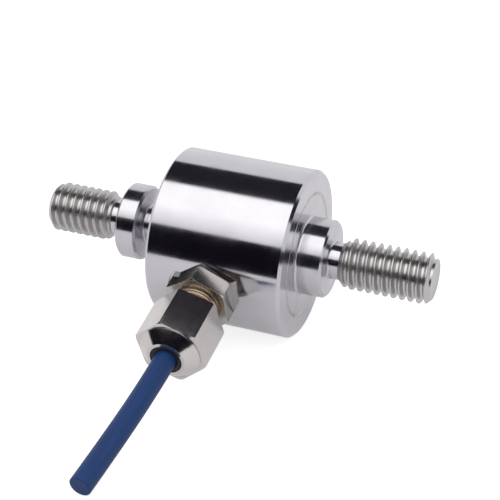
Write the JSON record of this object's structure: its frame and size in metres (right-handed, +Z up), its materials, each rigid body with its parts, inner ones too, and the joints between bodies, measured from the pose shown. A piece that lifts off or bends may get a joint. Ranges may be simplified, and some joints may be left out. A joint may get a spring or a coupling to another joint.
{
  "type": "miniature tension and compression load cell",
  "caption": "Short polished steel cylinder with a threaded stud at each end, a collar, a hexagonal cable gland on its side and a short blue cable; measures pull and push.",
  "frame": {"origin": "bottom centre of the box round the cell without its cable, on the table that it lies on", "axes": "+X along the load axis towards the stud on the boss, +Z up, the cable gland towards -Y and dipping to the table"},
  "size_m": [0.0478, 0.0497, 0.02],
  "materials": {
    "turned_steel": "polished stainless steel, fine turned",
    "polished_steel": "mirror-polished stainless steel",
    "gauge_foil": "amber film with metal foil grid",
    "board_laminate": "green laminate",
    "chip_ceramic": "dark ceramic chip with tinned ends",
    "solder": "bright solder",
    "copper": "bare copper",
    "nickel_plate": "bright nickel plate on brass",
    "black_rubber": "matte black rubber",
    "potting_resin": "dark cast resin",
    "blue_jacket": "blue cable jacket, satin",
    "tinned_braid": "tinned copper braid",
    "red_insulation": "red insulation",
    "black_insulation": "black insulation",
    "green_insulation": "green insulation",
    "white_insulation": "white insulation"
  },
  "bodies": {
    "root": {"load_element": "turned_steel", "housing_sleeve": "polished_steel", "strain_gauge_1": "gauge_foil", "strain_gauge_2": "gauge_foil", "strain_gauge_3": "gauge_foil", "strain_gauge_4": "gauge_foil", "terminal_board": "board_laminate", "balance_resistor": "chip_ceramic", "span_resistor_1": "chip_ceramic", "span_resistor_2": "chip_ceramic", "solder_joints": "solder", "gauge_wires": "copper", "gland_body": "nickel_plate", "cable_seal": "black_rubber", "clamp_ring": "nickel_plate", "cap_nut": "nickel_plate", "potting_plug": "potting_resin", "cable_jacket": "blue_jacket", "cable_shield": "tinned_braid", "core_red": "red_insulation", "core_black": "black_insulation", "core_green": "green_insulation", "core_white": "white_insulation", "copper_conductors": "copper"}
  },
  "joints": []
}
